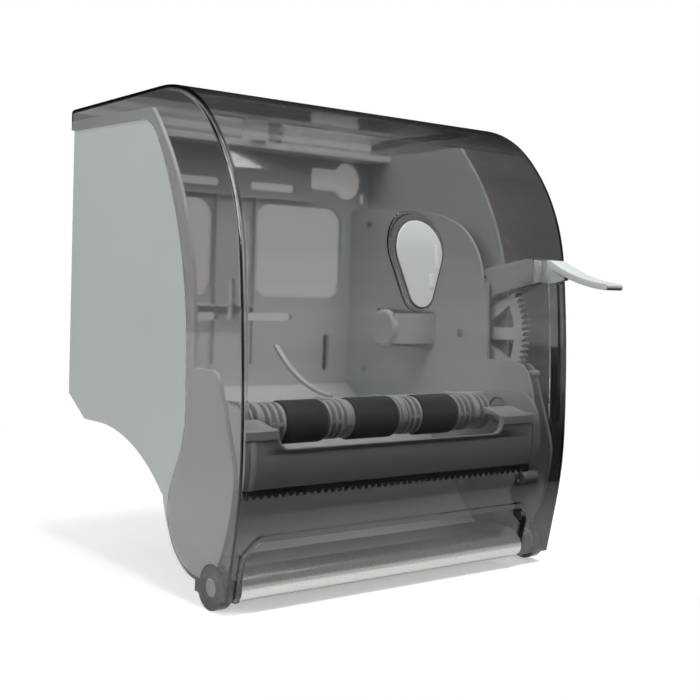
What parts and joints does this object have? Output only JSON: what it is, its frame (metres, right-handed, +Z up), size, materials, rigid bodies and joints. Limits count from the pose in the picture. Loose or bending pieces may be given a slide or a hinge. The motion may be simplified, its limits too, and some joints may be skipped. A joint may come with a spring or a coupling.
{
  "type": "lever paper towel dispenser",
  "caption": "Wall-mounted roll towel dispenser with a tinted hinged cover, a push lever that drives the feed roller through gears, and a serrated tear blade.",
  "frame": {"origin": "centre of the four wall slots, on the back panel's rear face (the wall plane)", "axes": "+Z up, +Y into the wall, the dispenser's front faces -Y, +X to the right seen from the front"},
  "size_m": [0.312, 0.3105, 0.3558],
  "materials": {
    "housing_plastic": "light grey, fine matt texture",
    "tinted_plastic": "clear smoke-grey tint, polished",
    "clear_plastic": "clear, polished",
    "dark_plastic": "dark grey, satin",
    "gear_plastic": "natural white acetal",
    "grip_rubber": "black, matt",
    "steel": "bright zinc-plated steel",
    "blade_steel": "stamped stainless steel"
  },
  "bodies": {
    "rear": {"rear_housing": "housing_plastic", "gear_cover": "housing_plastic", "gear_cover_screws": "steel", "front_chute": "housing_plastic", "nose_bar": "housing_plastic", "nose_screws": "steel", "blade_bar": "dark_plastic", "tear_blade": "blade_steel", "blade_screws": "steel", "lock_keeper": "dark_plastic", "stripper_fingers": "housing_plastic", "paper_guide": "housing_plastic", "right_roll_hub": "housing_plastic", "hub_guide": "housing_plastic", "hub_spring": "steel", "hinge_pin_left": "dark_plastic", "hinge_pin_right": "dark_plastic", "feed_bushes": "housing_plastic", "pinch_blocks": "gear_plastic", "lever_pivot_pin": "steel", "return_spring": "steel", "spring_post": "housing_plastic"},
    "cover": {"cover_shell": "tinted_plastic", "sight_window": "clear_plastic", "lock_housing": "dark_plastic"},
    "lock": {"lock_barrel": "dark_plastic", "lock_cam": "steel"},
    "lever": {"sector_gear": "gear_plastic", "lever_arm": "housing_plastic", "lever_screws": "steel"},
    "left_hub": {"left_roll_hub": "housing_plastic"},
    "feed_roller": {"feed_core": "housing_plastic", "grip_sleeve_left": "grip_rubber", "grip_sleeve_middle": "grip_rubber", "grip_sleeve_right": "grip_rubber", "feed_shaft": "steel", "drive_pinion": "gear_plastic", "one_way_clutch": "steel"},
    "pinch_roller": {"pinch_shaft": "steel", "pinch_tyres": "grip_rubber"}
  },
  "joints": [
    {"name": "cover_hinge", "type": "hinge", "parent": "rear", "child": "cover", "pos_m": [0, -0.222, -0.2312], "axis": [1, 0, 0], "range_deg": [0, 100]},
    {"name": "lock_turn", "type": "hinge", "parent": "cover", "child": "lock", "pos_m": [0.027, -0.024, 0.1], "axis": [0, 0, 1], "range_deg": [0, 90]},
    {"name": "lever_pivot", "type": "hinge", "parent": "rear", "child": "lever", "pos_m": [0.14, -0.15528, -0.0649], "axis": [1, 0, 0], "range_deg": [0, 52], "stiffness_Nm_per_rad": 0.35, "springref_deg": -28.65, "deforming": ["return_spring"]},
    {"name": "feed_roller_spin", "type": "hinge", "parent": "rear", "child": "feed_roller", "pos_m": [0, -0.205, -0.125], "axis": [1, 0, 0], "range_deg": [-249, 0]},
    {"name": "pinch_roller_spin", "type": "hinge", "parent": "rear", "child": "pinch_roller", "pos_m": [0, -0.18199, -0.1325], "axis": [1, 0, 0], "range_deg": [0, 471]},
    {"name": "left_hub_slide", "type": "slide", "parent": "rear", "child": "left_hub", "axis": [-1, 0, 0], "range_m": [0, 0.01], "stiffness_N_per_m": 400, "springref_m": -0.01}
  ],
  "couplings": [
    {"joint": "feed_roller_spin", "follows": "lever_pivot", "ratio": -4.7778},
    {"joint": "pinch_roller_spin", "follows": "lever_pivot", "ratio": 9.0312}
  ]
}
